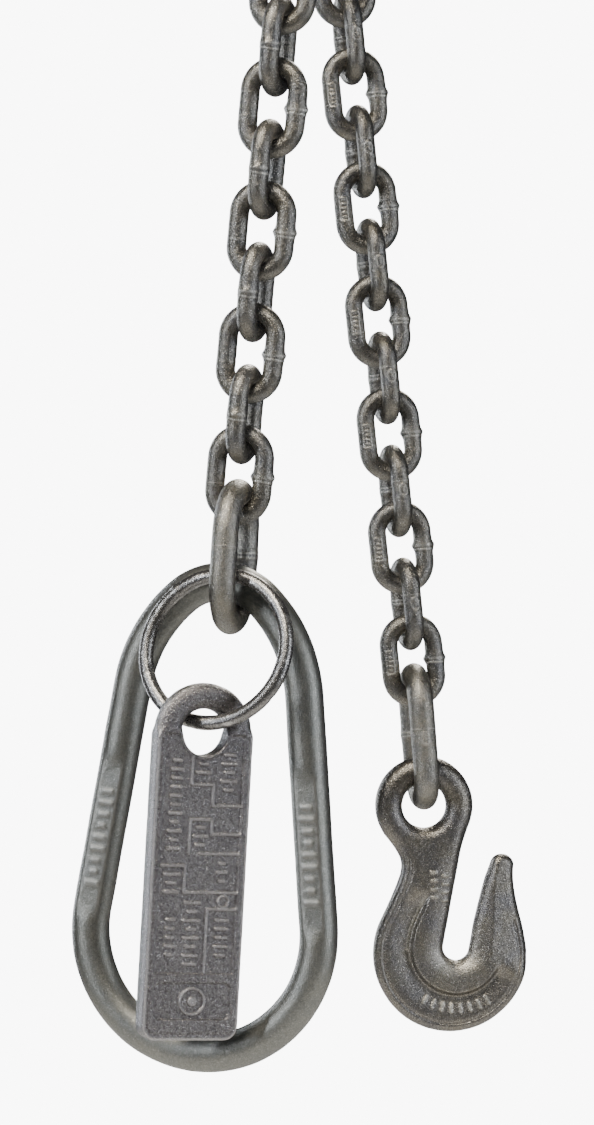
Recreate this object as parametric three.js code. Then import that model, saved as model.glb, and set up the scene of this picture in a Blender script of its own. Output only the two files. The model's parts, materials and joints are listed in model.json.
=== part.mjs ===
// A single-leg chain sling, hung over a round bar: a pear-shaped master link with an identification tag on
// one end of the chain, and an eye grab hook on the other.
//
// Frame: millimetres, +Z up, origin on the axis of the bar that the chain hangs over. The front run of the
// chain hangs at low Y and carries the master link, the back run hangs at high Y and carries the hook.
// Every link is built round its own centre: x across the link, z along it with its lower end at -z.
import * as THREE from 'three';
import { mergeVertices } from 'three/addons/utils/BufferGeometryUtils.js';

const { degToRad, lerp } = THREE.MathUtils;

// ---- Driving dimensions --------------------------------------------------------------------------------

const PLAY = 0.35; // clearance where one link bears on the next

const CHAIN = { wire: 7.1, insideWidth: 10.5, pitch: 21.9, links: 29 };
const COUPLING = { wire: 9.5, insideWidth: 21.6, outerLength: 56.4 };
const END_LINK = { wire: 9.8, insideWidth: 14.6, outerLength: 57.2 };
const RING = { wire: 5.3, outerDiameter: 59.6 };

const MASTER = {
  wire: 14,
  outerLength: 184,
  crownRadius: 23, // of the bar's centre line, as are the next radii
  crownAngle: 42,
  shoulderRadius: 54,
  sideFlare: 7.3, // how far each straight side leans outward
};

const TAG = {
  width: 35.7,
  length: 126,
  thickness: 8.6,
  edgeRound: 3.6,
  eyeHole: 16.5,
  eyeRise: 17.4, // from the centre of the hole to the top of the eye
  cornerRadius: 5,
};

const HOOK = {
  thickness: 11,
  edgeRound: 4.5,
  eyeRadius: 19,
  eyeHole: 17,
  bowlRadius: 30, // outside of the rounded lower part
  bowlX: 8.8,
  bowlZ: -57.5,
  slotWidth: 9.8,
  slotX: 10.9,
  slotZ: -55.2,
  slotLean: 12, // the slot's top leans this far to the right
  tipRadius: 4.8,
  tipX: 29.9,
  tipZ: -24.6,
};

// How the sling hangs
const BEND_RADIUS = 50.9; // from the bar's axis to the centre of the chain
const BEND_HEADING = 11.6; // the bend's plane, turned this far from +Y towards +X
const TOP_LINK = 13; // the flat link at the top of the bend
const TOP_LINK_TILT = 10.4; // its turn round the bar, towards the front
const BEND_LINKS_EACH_SIDE = 3;
const FRONT_LEAN = 5.23; // the front run's foot swings this far to -X
const FRONT_SETBACK = 4.2; // and this far to +Y, because the tag is in front of the chain
const BACK_LEAN = 5.86; // the back run's foot swings this far to +X
const BACK_SETBACK = 0.9; // and this far to +Y, because the bend is not quite level
// Each link's twist about the run of the chain, counted from the bend's plane. It grows along the bend.
const FLAT_TWIST = { front: 3.4, back: 20.6 };
const EDGE_TWIST = { front: 6.4, back: 25.6 };
const BEND_TWIST = { front: 5, back: 23 };

// How each fitting hangs: its lean to +X, and its yaw, which brings its right side forward
const COUPLING_LEAN = -3.6;
const COUPLING_YAW = 13;
const MASTER_LEAN = -3.4;
const MASTER_YAW = 18;
const MASTER_SEAT = 2.9; // from the middle of the coupling link towards its rear arm
const MASTER_SHIFT = -4; // its crown bears a little right of its middle
const MASTER_RISE = 14.2; // above the centre line of the coupling link's lower crown
const RING_YAW = 23;
const RING_PITCH = 16; // its foot comes forward
const RING_TURN = 3; // where the coupling link meets it, round from its top to the right
const RING_SEAT = 7.8; // from the middle of the coupling link towards its front arm
const RING_RISE = 16.8;
const TAG_YAW = 21; // the tag's left side comes forward
const TAG_TURN = -3; // where the tag hangs on the ring, round from its foot to the right
const TAG_LEAN = -3.2;
const TAG_PLAY = 2.3; // the eye's bar is wide, so it sits a little above the ring's wire
const END_LINK_LEAN = 4.5;
const END_LINK_YAW = 7; // its rear arm is to the left
const HOOK_PLAY = 0.6; // the eye's bar is nearly as wide as the end link's crown
const HOOK_LEAN = 1.5;
const HOOK_YAW = 6;

const STEEL_COLOUR = 0x5c5850;
const TAG_COLOUR = 0x6a6462;
const RING_COLOUR = 0x4c4946;
const ROUGHNESS = { forged: 0.5, smooth: 0.45, ring: 0.3, tag: 0.6 };

// How finely the round shapes are drawn: the steps of a half round or a whole one, and the sides of a bar
const CROWN_STEPS = { chain: 6, fitting: 8 };
const MASTER_STEPS = { crown: 4, shoulder: 4, foot: 7 };
const RING_STEPS = 32;
const LINK_SIDES = 8;
const MASTER_SIDES = 12;
const TAG_CURVE_STEPS = 8;
const HOOK_CURVE_STEPS = 10;
const SAME_CORNER = 0.001; // corners of a mesh that are nearer than this are one corner
const LEAST_STEP = 0.05; // between the corners of an outline

// ---- Small helpers -------------------------------------------------------------------------------------

const radians = degToRad;
const sling = new THREE.Group();

const steel = (color, roughness) => new THREE.MeshStandardMaterial({ color, roughness, metalness: 0.9 });

/** A closed geometry with one vertex per corner. */
function welded(geometry) {
  geometry.deleteAttribute('normal');
  geometry.deleteAttribute('uv');
  return mergeVertices(geometry, SAME_CORNER);
}

/** Adds a named mesh whose own x, y and z axes point along the given directions. */
function place(name, geometry, material, { centre, across, along }) {
  const mesh = new THREE.Mesh(geometry, material);
  mesh.name = name;
  const up = along.clone().negate();
  const depth = new THREE.Vector3().crossVectors(up, across);
  mesh.matrix.makeBasis(across, depth, up).setPosition(centre);
  mesh.matrix.decompose(mesh.position, mesh.quaternion, mesh.scale);
  sling.add(mesh);
  return mesh;
}

/** A direction in the horizontal plane, turned from +X towards +Y. */
const level = (degrees) => new THREE.Vector3(Math.cos(radians(degrees)), Math.sin(radians(degrees)), 0);

/** The part of a direction that is square to another, as a unit vector. */
const squareTo = (direction, other) => direction.clone().projectOnPlane(other).normalize();

// ---- Closed bars: links and rings ----------------------------------------------------------------------

/** A closed centre line made of the given stretches, sampled only at the ends and along the arcs. */
class ClosedBar extends THREE.Curve {
  constructor(points) {
    super();
    this.points = points;
  }

  getPointAt(t) {
    const count = this.points.length;
    return this.points[Math.round(t * count) % count].clone();
  }

  getTangentAt(t) {
    const count = this.points.length;
    const at = Math.round(t * count) % count;
    const before = this.points[(at + count - 1) % count];
    const after = this.points[(at + 1) % count];
    return after.clone().sub(before).normalize();
  }
}

/** Points of an arc in the x-z plane, from one angle to another, both ends included. */
function arc(x, z, radius, from, to, steps) {
  const points = [];
  for (let i = 0; i <= steps; i += 1) {
    const angle = radians(lerp(from, to, i / steps));
    points.push(new THREE.Vector3(x + radius * Math.cos(angle), 0, z + radius * Math.sin(angle)));
  }
  return points;
}

const bar = (points, wire, sides) =>
  welded(new THREE.TubeGeometry(new ClosedBar(points), points.length, wire / 2, sides, true));

/** An oblong link: two half-round crowns and two straight arms. */
function linkGeometry({ wire, insideWidth, outerLength }, crownSteps) {
  const radius = (insideWidth + wire) / 2;
  const arm = (outerLength - wire) / 2 - radius;
  const top = arc(0, arm, radius, 0, 180, crownSteps);
  const bottom = arc(0, -arm, radius, 180, 360, crownSteps);
  return bar([...top, ...bottom], wire, LINK_SIDES);
}

/** A pear-shaped link: crown, shoulder, straight flared side and a wide round foot, the same on both sides. */
function masterGeometry() {
  const { wire, outerLength, crownRadius, crownAngle, shoulderRadius } = MASTER;
  const length = outerLength - wire;
  const flare = radians(MASTER.sideFlare);
  const turn = radians(crownAngle);
  const shoulderX = -(shoulderRadius - crownRadius) * Math.sin(turn);
  const shoulderZ = length / 2 - crownRadius - (shoulderRadius - crownRadius) * Math.cos(turn);
  const sideX = shoulderX + shoulderRadius * Math.cos(flare);
  const sideDrop = length / 2 - (shoulderZ + shoulderRadius * Math.sin(flare));
  // the straight side and the foot's radius that close the outline at the given length
  const grow = (1 + Math.sin(flare)) / Math.cos(flare);
  const side = (length - sideDrop - sideX * grow) / (Math.cos(flare) + Math.sin(flare) * grow);
  const footRadius = (sideX + side * Math.sin(flare)) / Math.cos(flare);
  const footZ = -length / 2 + footRadius;

  const right = [
    ...arc(0, length / 2 - crownRadius, crownRadius, 90, 90 - crownAngle, MASTER_STEPS.crown),
    ...arc(
      shoulderX, shoulderZ, shoulderRadius, 90 - crownAngle, MASTER.sideFlare, MASTER_STEPS.shoulder,
    ).slice(1),
    ...arc(0, footZ, footRadius, MASTER.sideFlare, -90, MASTER_STEPS.foot),
  ];
  const left = right.slice(1, -1).map((p) => new THREE.Vector3(-p.x, 0, p.z));
  return bar([...right.reverse(), ...left], wire, MASTER_SIDES);
}

function ringGeometry() {
  const radius = (RING.outerDiameter - RING.wire) / 2;
  return bar(arc(0, 0, radius, 0, 360, RING_STEPS).slice(0, -1), RING.wire, LINK_SIDES);
}

// ---- Plates: the tag and the hook ----------------------------------------------------------------------

/** The points of a closed outline, each one once. */
function cornersOf(path, curveSegments) {
  const points = path.getPoints(curveSegments);
  return points.filter((point, i) => point.distanceTo(points.at(i - 1)) > LEAST_STEP);
}

/** A plate of the given outline in the x-z plane with rounded-over edges and one hole, centred on y = 0. */
function plate(outline, holeRadius, thickness, edgeRound, curveSegments) {
  const shape = new THREE.Shape(cornersOf(outline, curveSegments));
  const hole = new THREE.Path().absarc(0, 0, holeRadius, 0, 2 * Math.PI, true);
  shape.holes.push(new THREE.Path(cornersOf(hole, 2 * curveSegments)));
  const geometry = new THREE.ExtrudeGeometry(shape, {
    depth: thickness - 2 * edgeRound,
    bevelThickness: edgeRound,
    bevelSize: edgeRound,
    bevelOffset: -edgeRound,
    bevelSegments: 2,
  });
  geometry.translate(0, 0, -(thickness / 2 - edgeRound));
  geometry.rotateX(radians(90));
  return welded(geometry);
}

/** The tag hangs from the centre of its eye hole. */
function tagGeometry() {
  const { width, length, eyeRise, cornerRadius: corner } = TAG;
  const half = width / 2;
  const foot = eyeRise - length;
  const outline = new THREE.Shape();
  outline.absellipse(0, 0, half, eyeRise, 0, Math.PI, false);
  outline.lineTo(-half, foot + corner);
  outline.absarc(-half + corner, foot + corner, corner, Math.PI, 1.5 * Math.PI, false);
  outline.lineTo(half - corner, foot);
  outline.absarc(half - corner, foot + corner, corner, -0.5 * Math.PI, 0, false);
  return plate(outline, TAG.eyeHole / 2, TAG.thickness, TAG.edgeRound, TAG_CURVE_STEPS);
}

/** Where two lines meet, each given by a point and a direction. */
function meeting(point, direction, otherPoint, otherDirection) {
  const gap = otherPoint.clone().sub(point);
  const along = gap.cross(otherDirection) / direction.cross(otherDirection);
  return point.clone().addScaledVector(direction, along);
}

const turned = (degrees) => new THREE.Vector2(Math.cos(radians(degrees)), Math.sin(radians(degrees)));

/** The hook hangs from the centre of its eye hole: eye, narrow neck, round bowl, blunt tip and chain slot. */
function hookGeometry() {
  const { eyeRadius, bowlRadius, slotWidth, slotLean, tipRadius } = HOOK;
  const eyeStart = -26;
  const eyeEnd = 227;
  const bowlStart = 150;
  const bowlEnd = 364;
  const tipStart = 8;
  const throatRound = 3; // how far below the throat's corner its curve starts
  const bowl = new THREE.Vector2(HOOK.bowlX, HOOK.bowlZ);
  const slot = new THREE.Vector2(HOOK.slotX, HOOK.slotZ);
  const tip = new THREE.Vector2(HOOK.tipX, HOOK.tipZ);

  const neckTop = turned(eyeEnd).multiplyScalar(eyeRadius);
  const neckFoot = turned(bowlStart).multiplyScalar(bowlRadius).add(bowl);
  const neck = meeting(neckTop, turned(eyeEnd + 90), neckFoot, turned(bowlStart - 90));

  const slotLeft = turned(180 - slotLean).multiplyScalar(slotWidth / 2).add(slot);
  const slotWall = turned(90 - slotLean);
  const eyeFoot = turned(eyeStart).multiplyScalar(eyeRadius);
  const throat = meeting(slotLeft, slotWall, eyeFoot, turned(eyeStart - 90));

  const outline = new THREE.Shape();
  outline.absarc(0, 0, eyeRadius, radians(eyeStart), radians(eyeEnd), false);
  outline.quadraticCurveTo(neck.x, neck.y, neckFoot.x, neckFoot.y);
  outline.absarc(bowl.x, bowl.y, bowlRadius, radians(bowlStart), radians(bowlEnd), false);
  outline.absarc(tip.x, tip.y, tipRadius, radians(tipStart), radians(180 - slotLean), false);
  outline.absarc(slot.x, slot.y, slotWidth / 2, radians(-slotLean), radians(-180 - slotLean), true);
  outline.lineTo(throat.x - throatRound * slotWall.x, throat.y - throatRound * slotWall.y);
  outline.quadraticCurveTo(throat.x, throat.y, eyeFoot.x, eyeFoot.y);
  return plate(outline, HOOK.eyeHole / 2, HOOK.thickness, HOOK.edgeRound, HOOK_CURVE_STEPS);
}

// ---- The chain -----------------------------------------------------------------------------------------

const bendAcross = level(-BEND_HEADING); // square to the bend's plane, to the right
const bendForward = level(90 - BEND_HEADING); // in the bend's plane, towards the back run
const up = new THREE.Vector3(0, 0, 1);

const chainBite = CHAIN.wire + PLAY; // between the centre lines of two links that bear on each other
const chainOuterLength = CHAIN.pitch + chainBite + CHAIN.wire;
const chainReach = CHAIN.pitch + chainBite; // between the centre lines of one link's two crowns
const flatAngle = 2 * Math.asin(chainReach / 2 / BEND_RADIUS);
const edgeAngle = 2 * Math.asin((chainReach - 2 * chainBite) / 2 / BEND_RADIUS);

/** The direction of a chord of the bend whose middle is turned this far round the bar from the top. */
const bendDirection = (turn, side) =>
  bendForward.clone().multiplyScalar(side * Math.cos(turn)).addScaledVector(up, -Math.sin(turn));

/** A link's own width direction, twisted about the run of the chain, which goes from back to front. */
function widthAcross(along, side, number) {
  const run = along.clone().multiplyScalar(-side);
  const fromTop = number - TOP_LINK;
  const isFlat = fromTop % 2 === 0;
  const inBend = Math.abs(fromTop) <= BEND_LINKS_EACH_SIDE;
  const own = isFlat ? FLAT_TWIST : EDGE_TWIST;
  const share = (fromTop / (BEND_LINKS_EACH_SIDE + 1) + 1) / 2;
  const twist = radians(inBend ? lerp(BEND_TWIST.front, BEND_TWIST.back, share) : own[side > 0 ? 'back' : 'front']);
  const across = squareTo(bendAcross, run);
  const other = new THREE.Vector3().crossVectors(run, across);
  return isFlat
    ? across.multiplyScalar(Math.cos(twist)).addScaledVector(other, Math.sin(twist))
    : across.multiplyScalar(Math.sin(twist)).addScaledVector(other, -Math.cos(twist));
}

const chainLink = linkGeometry({ ...CHAIN, outerLength: chainOuterLength }, CROWN_STEPS.chain);
const chainSteel = steel(STEEL_COLOUR, ROUGHNESS.forged);
const linkName = (number) => `chain_link_${String(number).padStart(2, '0')}`;

/**
 * Hangs a link or ring in the link above it. Each is { wire, reach, across, along, lowerCrown }: its wire, the
 * distance between the centre lines of its crowns, its width and length directions, and its lower crown.
 */
function hang(above, link) {
  const bearing = new THREE.Vector3().crossVectors(above.across, link.across).normalize();
  const depth = Math.sign(bearing.dot(link.along)) * ((above.wire + link.wire) / 2 + PLAY);
  const upperCrown = above.lowerCrown.clone().addScaledVector(bearing, -depth);
  link.centre = upperCrown.clone().addScaledVector(link.along, link.reach / 2);
  link.lowerCrown = upperCrown.clone().addScaledVector(link.along, link.reach);
  return link;
}

const chainLinkAt = (number, along, side) => ({
  wire: CHAIN.wire,
  reach: chainReach,
  along,
  across: widthAcross(along, side, number),
});

/** Hangs one run of the chain from the top link: round the bend, then straight down to its last link. */
function hangRun(side, lastNumber, hangingDirection) {
  let turn = radians(-side * TOP_LINK_TILT) + flatAngle / 2;
  let above = { ...topLink, lowerCrown: onBend(side * turn) };
  for (let count = 1; count <= Math.abs(lastNumber - TOP_LINK); count += 1) {
    const number = TOP_LINK + side * count;
    const chord = count % 2 === 0 ? flatAngle : edgeAngle;
    const inBend = count <= BEND_LINKS_EACH_SIDE;
    const along = inBend ? bendDirection(turn + chord / 2, side) : hangingDirection;
    above = hang(above, chainLinkAt(number, along, side));
    place(linkName(number), chainLink, chainSteel, above);
    turn += chord;
  }
  return above;
}

/** The point of the chain's bend that is turned this far from the top towards the back run. */
const onBend = (turn) =>
  bendForward
    .clone()
    .multiplyScalar(Math.sin(turn))
    .addScaledVector(up, Math.cos(turn))
    .multiplyScalar(BEND_RADIUS);

const topLink = chainLinkAt(TOP_LINK, bendDirection(radians(-TOP_LINK_TILT), 1), 1);
topLink.centre = onBend(radians(-TOP_LINK_TILT)).multiplyScalar(Math.cos(flatAngle / 2));
place(linkName(TOP_LINK), chainLink, chainSteel, topLink);

/** Straight down, but with the foot leaning so many degrees to +X and so many to +Y. */
const leaning = (right, back = 0) =>
  new THREE.Vector3(Math.tan(radians(right)), Math.tan(radians(back)), -1).normalize();
const front = hangRun(-1, 1, leaning(-FRONT_LEAN, FRONT_SETBACK));
const back = hangRun(1, CHAIN.links, leaning(BACK_LEAN, BACK_SETBACK));

// ---- Front end: coupling link, master link, ring and tag ------------------------------------------------

const linkReach = (link) => link.outerLength - link.wire;

const coupling = hang(front, {
  wire: COUPLING.wire,
  reach: linkReach(COUPLING),
  along: leaning(COUPLING_LEAN),
  across: squareTo(level(90 - COUPLING_YAW), leaning(COUPLING_LEAN)),
});
const fittingSteel = steel(STEEL_COLOUR, ROUGHNESS.forged);
place('coupling_link', linkGeometry(COUPLING, CROWN_STEPS.fitting), fittingSteel, coupling);

/** A point inside a link: so far across from its middle, and so far above its lower crown's centre line. */
function insideLink(link, { right, rise }) {
  return link.lowerCrown
    .clone()
    .addScaledVector(link.along, -rise)
    .addScaledVector(link.across, right);
}

// The master link's bar lies at the back of the coupling link's lower crown, and the ring's at the front
const masterAlong = leaning(MASTER_LEAN);
const masterAcross = squareTo(level(-MASTER_YAW), masterAlong);
const masterReach = linkReach(MASTER);
const masterCrown = insideLink(coupling, { right: MASTER_SEAT, rise: MASTER_RISE })
  .addScaledVector(masterAcross, MASTER_SHIFT);
place('master_link', masterGeometry(), steel(STEEL_COLOUR, ROUGHNESS.smooth), {
  centre: masterCrown.addScaledVector(masterAlong, masterReach / 2),
  across: masterAcross,
  along: masterAlong,
});

// The ring passes through the coupling link at this point of its round, turned from its top
const ringRadius = (RING.outerDiameter - RING.wire) / 2;
const ringAcross = level(-RING_YAW);
const ringFacing = level(-90 - RING_YAW);
const ringAlong = ringFacing
  .clone()
  .multiplyScalar(Math.sin(radians(RING_PITCH)))
  .addScaledVector(up, -Math.cos(radians(RING_PITCH)));
const ringCentre = insideLink(coupling, { right: -RING_SEAT, rise: RING_RISE })
  .addScaledVector(ringAcross, -ringRadius * Math.sin(radians(RING_TURN)))
  .addScaledVector(ringAlong, ringRadius * Math.cos(radians(RING_TURN)));
place('tag_ring', ringGeometry(), steel(RING_COLOUR, ROUGHNESS.ring), {
  centre: ringCentre,
  across: ringAcross,
  along: ringAlong,
});

const ringFoot = ringCentre
  .clone()
  .addScaledVector(ringAlong, ringRadius * Math.cos(radians(TAG_TURN)))
  .addScaledVector(ringAcross, ringRadius * Math.sin(radians(TAG_TURN)));
const tagAlong = leaning(TAG_LEAN);
place('id_tag', tagGeometry(), steel(TAG_COLOUR, ROUGHNESS.tag), {
  centre: ringFoot.addScaledVector(tagAlong, TAG.eyeHole / 2 - RING.wire / 2 - TAG_PLAY),
  across: squareTo(level(TAG_YAW), tagAlong),
  along: tagAlong,
});

// ---- Back end: end link and hook -----------------------------------------------------------------------

const endLink = hang(back, {
  wire: END_LINK.wire,
  reach: linkReach(END_LINK),
  along: leaning(END_LINK_LEAN),
  across: squareTo(level(90 + END_LINK_YAW), leaning(END_LINK_LEAN)),
});
place('end_link', linkGeometry(END_LINK, CROWN_STEPS.fitting), fittingSteel, endLink);

const hookAlong = leaning(HOOK_LEAN);
place('grab_hook', hookGeometry(), steel(STEEL_COLOUR, ROUGHNESS.smooth), {
  centre: endLink.lowerCrown.clone().addScaledVector(hookAlong, HOOK.eyeHole / 2 - END_LINK.wire / 2 - HOOK_PLAY),
  across: squareTo(level(HOOK_YAW), hookAlong),
  along: hookAlong,
});

export default sling;
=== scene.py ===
import json
import math

import bpy
import numpy as np
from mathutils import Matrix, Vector


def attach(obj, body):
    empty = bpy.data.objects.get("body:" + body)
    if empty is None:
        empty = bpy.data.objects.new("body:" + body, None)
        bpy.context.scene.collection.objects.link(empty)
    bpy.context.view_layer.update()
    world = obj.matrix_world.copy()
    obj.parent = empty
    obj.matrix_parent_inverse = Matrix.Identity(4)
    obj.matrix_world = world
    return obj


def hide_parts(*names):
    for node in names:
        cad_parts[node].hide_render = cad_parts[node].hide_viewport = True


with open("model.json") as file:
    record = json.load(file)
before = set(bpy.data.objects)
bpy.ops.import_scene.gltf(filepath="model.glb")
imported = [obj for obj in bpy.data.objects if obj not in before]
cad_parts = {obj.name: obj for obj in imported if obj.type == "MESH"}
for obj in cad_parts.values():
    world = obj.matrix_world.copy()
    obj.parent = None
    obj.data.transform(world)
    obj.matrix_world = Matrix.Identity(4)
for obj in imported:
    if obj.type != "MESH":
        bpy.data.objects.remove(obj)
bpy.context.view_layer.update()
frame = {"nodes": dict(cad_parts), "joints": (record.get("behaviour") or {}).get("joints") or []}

MM = 0.001

# ---- Driving dimensions, in millimetres -----------------------------------------------------------------

CHAIN = dict(wire=7.1, inside_width=10.5, length=36.45)
COUPLING = dict(wire=9.5, inside_width=21.6, length=56.4)
END_LINK = dict(wire=9.8, inside_width=14.6, length=57.2)
LINKS = 29
TOP_LINK = 13
LINK_SIDES = 48
WELD_HEIGHT = 0.95
STAMP_HEIGHT = 0.42

RING_WIRE = 5.3
RING_DIAMETER = 59.6
RING_SIDES = 28

MASTER_WIRE = 14.0
MASTER_LENGTH = 184.0
MASTER_CROWN = 23.0
MASTER_CROWN_ANGLE = 42.0
MASTER_SHOULDER = 54.0
MASTER_FLARE = 7.3
MASTER_FLAT_MIDDLE = -10.0  # the forged flats on its sides: their middle, half length and depth
MASTER_FLAT_HALF = 27.0
MASTER_FLAT_DEPTH = 1.1
MASTER_BAR_PITCH = 4.2  # the rows of raised bars on its front
MASTER_BAR_START = -50.0
MASTER_SIDES = 64

TAG_WIDTH = 35.7
TAG_EYE_RISE = 17.4
TAG_FOOT = -108.6
TAG_THICKNESS = 8.6
TAG_HOLE = 16.5
TAG_CORNER = 5.0
TAG_SPACING = 0.42  # the size of its mesh's faces

HOOK_THICKNESS = 11.0
HOOK_EYE = 19.0
HOOK_HOLE = 17.0
HOOK_PLAY = 0.6
HOOK_BOWL = (8.8, -57.5, 30.0)
HOOK_SLOT = (10.9, -55.2, 9.8)
HOOK_SLOT_LEAN = 12.0
HOOK_TIP = (29.9, -24.6, 4.8)
HOOK_LOW = (-23, -6.3, -89.5)  # the corners of the space that its mesh is made in
HOOK_HIGH = (41, 6.3, 20.5)
HOOK_SPACING = 0.5

# ---- The frame: where each node's own axes are ----------------------------------------------------------


def unit(vector):
    return vector / np.linalg.norm(vector)


def corners(node):
    """The corners of a CAD node, each one once, in millimetres."""
    mesh = frame["nodes"][node].data
    points = np.empty(len(mesh.vertices) * 3)
    mesh.vertices.foreach_get("co", points)
    return np.unique(np.round(points.reshape(-1, 3) / MM, 3), axis=0)


def axes_of(node):
    """(across, depth, up) of a node, from the directions in which it is shortest and longest."""
    points = corners(node)
    longest, _, shortest = np.linalg.svd(points - points.mean(0), full_matrices=False)[2]
    up = longest if longest[2] > 0 else -longest
    across = np.cross(shortest, up)
    forward = across[0] if abs(across[0]) > abs(across[1]) else -across[1]
    across = across if forward > 0 else -across
    return np.array([across, np.cross(up, across), up])


def middle_of(node, axes):
    """The middle of a node's extent along its own axes."""
    along = corners(node) @ axes.T
    return (along.min(0) + along.max(0)) / 2 @ axes


def joint_point(child):
    found = [joint for joint in frame["joints"] if joint["child"] == child]
    return np.array(found[0]["pos_m"]) / MM


# ---- Noise ----------------------------------------------------------------------------------------------


def lattice(cell, seed):
    """A fixed pseudo-random value from -1 to 1 for each whole-numbered cell."""
    mixed = cell[..., 0] * 73856093 ^ cell[..., 1] * 19349663 ^ cell[..., 2] * 83492791 ^ seed * 40503
    mixed = (mixed ^ mixed >> 13) * 1274126177 & 0x7FFFFFFF
    mixed = (mixed ^ mixed >> 11) & 0xFFFF
    return mixed / 32767.5 - 1


def noise(points, size, seed=0):
    """Smooth value noise at the given points, with lumps of about the given size."""
    scaled = np.asarray(points) / size + 500
    cell = np.floor(scaled).astype(np.int64)
    t = scaled - cell
    t = t * t * (3 - 2 * t)
    total = 0
    for corner in np.ndindex(2, 2, 2):
        weight = np.prod(np.where(corner, t, 1 - t), axis=-1)
        total = total + weight * lattice(cell + np.array(corner), seed)
    return total


def bump(value, width):
    """A bell of height 1 and the given half width."""
    return np.exp(-((value / width) ** 2))


def step(low, high, value):
    """Rises smoothly from 0 at low to 1 at high."""
    t = np.clip((value - low) / (high - low), 0, 1)
    return t * t * (3 - 2 * t)


# ---- Meshes ---------------------------------------------------------------------------------------------


def add_piece(name, node, material, points, faces, origin, axes, wear_and_highlight):
    """Makes the mesh that stands for a CAD node, and lets it ride on that node's body."""
    world = (points @ axes + origin) * MM
    mesh = bpy.data.meshes.new(name)
    mesh.from_pydata(world.tolist(), [], faces.tolist())
    mesh.update()
    mesh.polygons.foreach_set("use_smooth", np.ones(len(faces), bool))
    # the wear attribute holds real wear and, on the hook's slot foot and the tag's front edge, painted
    # highlights
    worn_and_highlight = mesh.attributes.new("wear_and_highlight", "FLOAT", "POINT")
    worn_and_highlight.data.foreach_set("value", np.clip(wear_and_highlight, 0, 1).astype(np.float32))
    mesh.materials.append(material)
    piece = bpy.data.objects.new(name, mesh)
    bpy.context.scene.collection.objects.link(piece)
    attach(piece, node)
    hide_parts(node)


# ---- Swept bars: links and rings ------------------------------------------------------------------------


def arc(x, z, radius, start, end, spacing=0.25):
    """Points of an arc in the x-z plane, from one angle in degrees to another."""
    count = max(2, int(abs(math.radians(end - start)) * radius / spacing))
    angle = np.radians(np.linspace(start, end, count))
    return np.column_stack([x + radius * np.cos(angle), z + radius * np.sin(angle)])


class ClosedLine:
    """A closed line in the x-z plane, measured along its length from its first point."""

    def __init__(self, points):
        gaps = np.linalg.norm(np.roll(points, -1, axis=0) - points, axis=1)
        points = points[gaps > 1e-4]
        gaps = gaps[gaps > 1e-4]
        self.at = np.concatenate([[0], np.cumsum(gaps)])
        self.points = np.vstack([points, points[:1]])
        self.length = self.at[-1]

    def point(self, distance):
        distance = distance % self.length
        return np.column_stack([np.interp(distance, self.at, self.points[:, k]) for k in (0, 1)])

    def outward(self, distance):
        """The direction in the plane that points away from the inside of a line that runs anticlockwise."""
        ahead = self.point(distance + 0.4) - self.point(distance - 0.4)
        ahead /= np.linalg.norm(ahead, axis=1)[:, None]
        return np.column_stack([ahead[:, 1], -ahead[:, 0]])


def along_the_line(distance, middle, length):
    """The signed distance of a station from the given one, round a closed line."""
    return (distance - middle + length / 2) % length - length / 2


def graded(length, fine_spans, fine, coarse):
    """Distances round a closed line, closer together inside the fine spans."""
    stations = [0.0]
    while stations[-1] < length:
        here = stations[-1]
        offsets = [abs(along_the_line(here, middle, length)) - half for middle, half in fine_spans]
        stations.append(here + (fine if min(offsets, default=0) < 0 else coarse))
    return np.array(stations[:-1]) * (length / stations[-1])


def swept_bar(line, stations, sides, radius_at):
    """A bar swept round a closed line. Angle 0 of its section faces out, 90 back, 180 in and 270 front."""
    angle = np.arange(sides) * 2 * math.pi / sides
    distance, turn = np.meshgrid(stations, angle, indexing="ij")
    centre = line.point(stations)
    out = line.outward(stations)
    middle = np.column_stack([centre[:, 0], np.zeros(len(stations)), centre[:, 1]])
    outward = np.column_stack([out[:, 0], np.zeros(len(stations)), out[:, 1]])
    round_section = np.cos(turn)[..., None] * outward[:, None] + np.sin(turn)[..., None] * [0, 1, 0]
    radius, wear_and_highlight = radius_at(distance, turn, middle[:, None] + round_section * 4)
    points = middle[:, None] + round_section * radius[..., None]
    ring, side = np.meshgrid(np.arange(len(stations)), np.arange(sides), indexing="ij")
    next_ring = (ring + 1) % len(stations)
    next_side = (side + 1) % sides
    near = [ring * sides + side, ring * sides + next_side]
    far = [next_ring * sides + next_side, next_ring * sides + side]
    faces = np.stack(near + far, axis=-1)
    return points.reshape(-1, 3), faces.reshape(-1, 4)[:, ::-1], wear_and_highlight.ravel()


def round_the_bar(turn, middle):
    """The signed angle of a section point from the given angle in degrees."""
    return (turn - math.radians(middle) + math.pi) % (2 * math.pi) - math.pi


def link_line(size):
    """A link's centre line. It starts at the middle of the right arm and runs up."""
    radius = (size["inside_width"] + size["wire"]) / 2
    arm = (size["length"] - size["wire"]) / 2 - radius
    half = np.vstack([[[radius, 0.0]], arc(0, arm, radius, 0, 180), [[-radius, 0.0]]])
    other = arc(0, -arm, radius, 180, 360)
    return ClosedLine(np.vstack([half, other]))


def weld_collar(along, turn, height):
    """The upset ring of a butt weld, with a lump on the inside and the outside of the link, and its seam."""
    lumps = 0.12 + 0.88 * bump(round_the_bar(turn, 180), 0.62) + 0.62 * bump(round_the_bar(turn, 0), 0.5)
    collar = height * lumps * bump(along - 0.25 * np.sin(2 * turn), 1.25)
    seam_line = along + 1.75 + 0.3 * np.sin(turn + 0.6)
    seam = 0.17 * bump(seam_line, 0.24)
    return collar + seam + 0.16 * bump(along, 3.4), 0.9 * bump(seam_line, 0.3) + 0.5 * bump(along, 0.5)


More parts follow.
